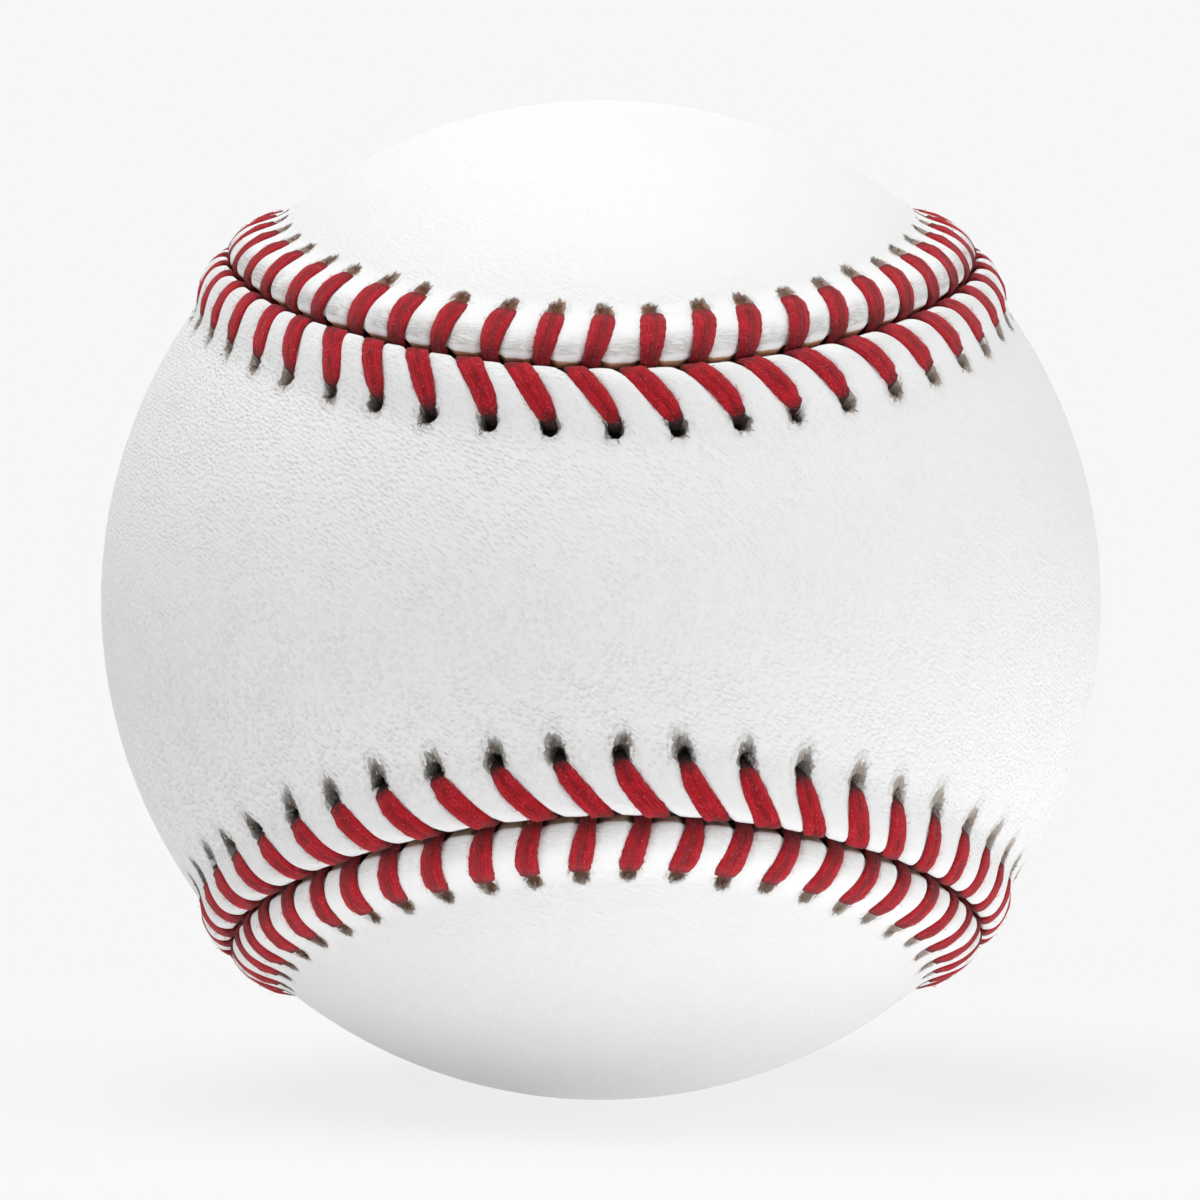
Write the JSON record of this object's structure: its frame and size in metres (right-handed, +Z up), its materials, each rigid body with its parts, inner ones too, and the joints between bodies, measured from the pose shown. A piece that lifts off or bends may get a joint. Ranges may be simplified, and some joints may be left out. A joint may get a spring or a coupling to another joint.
{
  "type": "baseball",
  "caption": "Baseball with a two-panel white leather cover, a raised seam of red double stitches, and a wound core over a cork and rubber pill.",
  "frame": {"origin": "centre of the ball", "axes": "+Z up; the waist of the front cover panel faces -Y and its lobes wrap round +X and -X; the back panel's waist faces +Y and its lobes cover the top and the bottom"},
  "size_m": [0.0734, 0.0734, 0.0734],
  "materials": {
    "cork": "ground cork bound with rubber",
    "black_rubber": "moulded, matt",
    "red_rubber": "moulded, matt",
    "grey_wool": "tightly wound wool yarn",
    "white_wool": "tightly wound wool yarn",
    "white_yarn": "fine polyester and cotton yarn",
    "adhesive": "thin dried rubber cement",
    "white_leather": "smooth white leather with a fine grain",
    "red_thread": "flattened waxed cotton thread"
  },
  "bodies": {
    "root": {"cork_core": "cork", "upper_rubber_cup": "black_rubber", "lower_rubber_cup": "black_rubber", "cup_washer": "red_rubber", "red_rubber_cover": "red_rubber", "first_winding": "grey_wool", "second_winding": "white_wool", "third_winding": "grey_wool", "finishing_winding": "white_yarn", "adhesive_coat": "adhesive", "front_cover_panel": "white_leather", "back_cover_panel": "white_leather", "first_needle_stitches": "red_thread", "second_needle_stitches": "red_thread"}
  },
  "joints": []
}
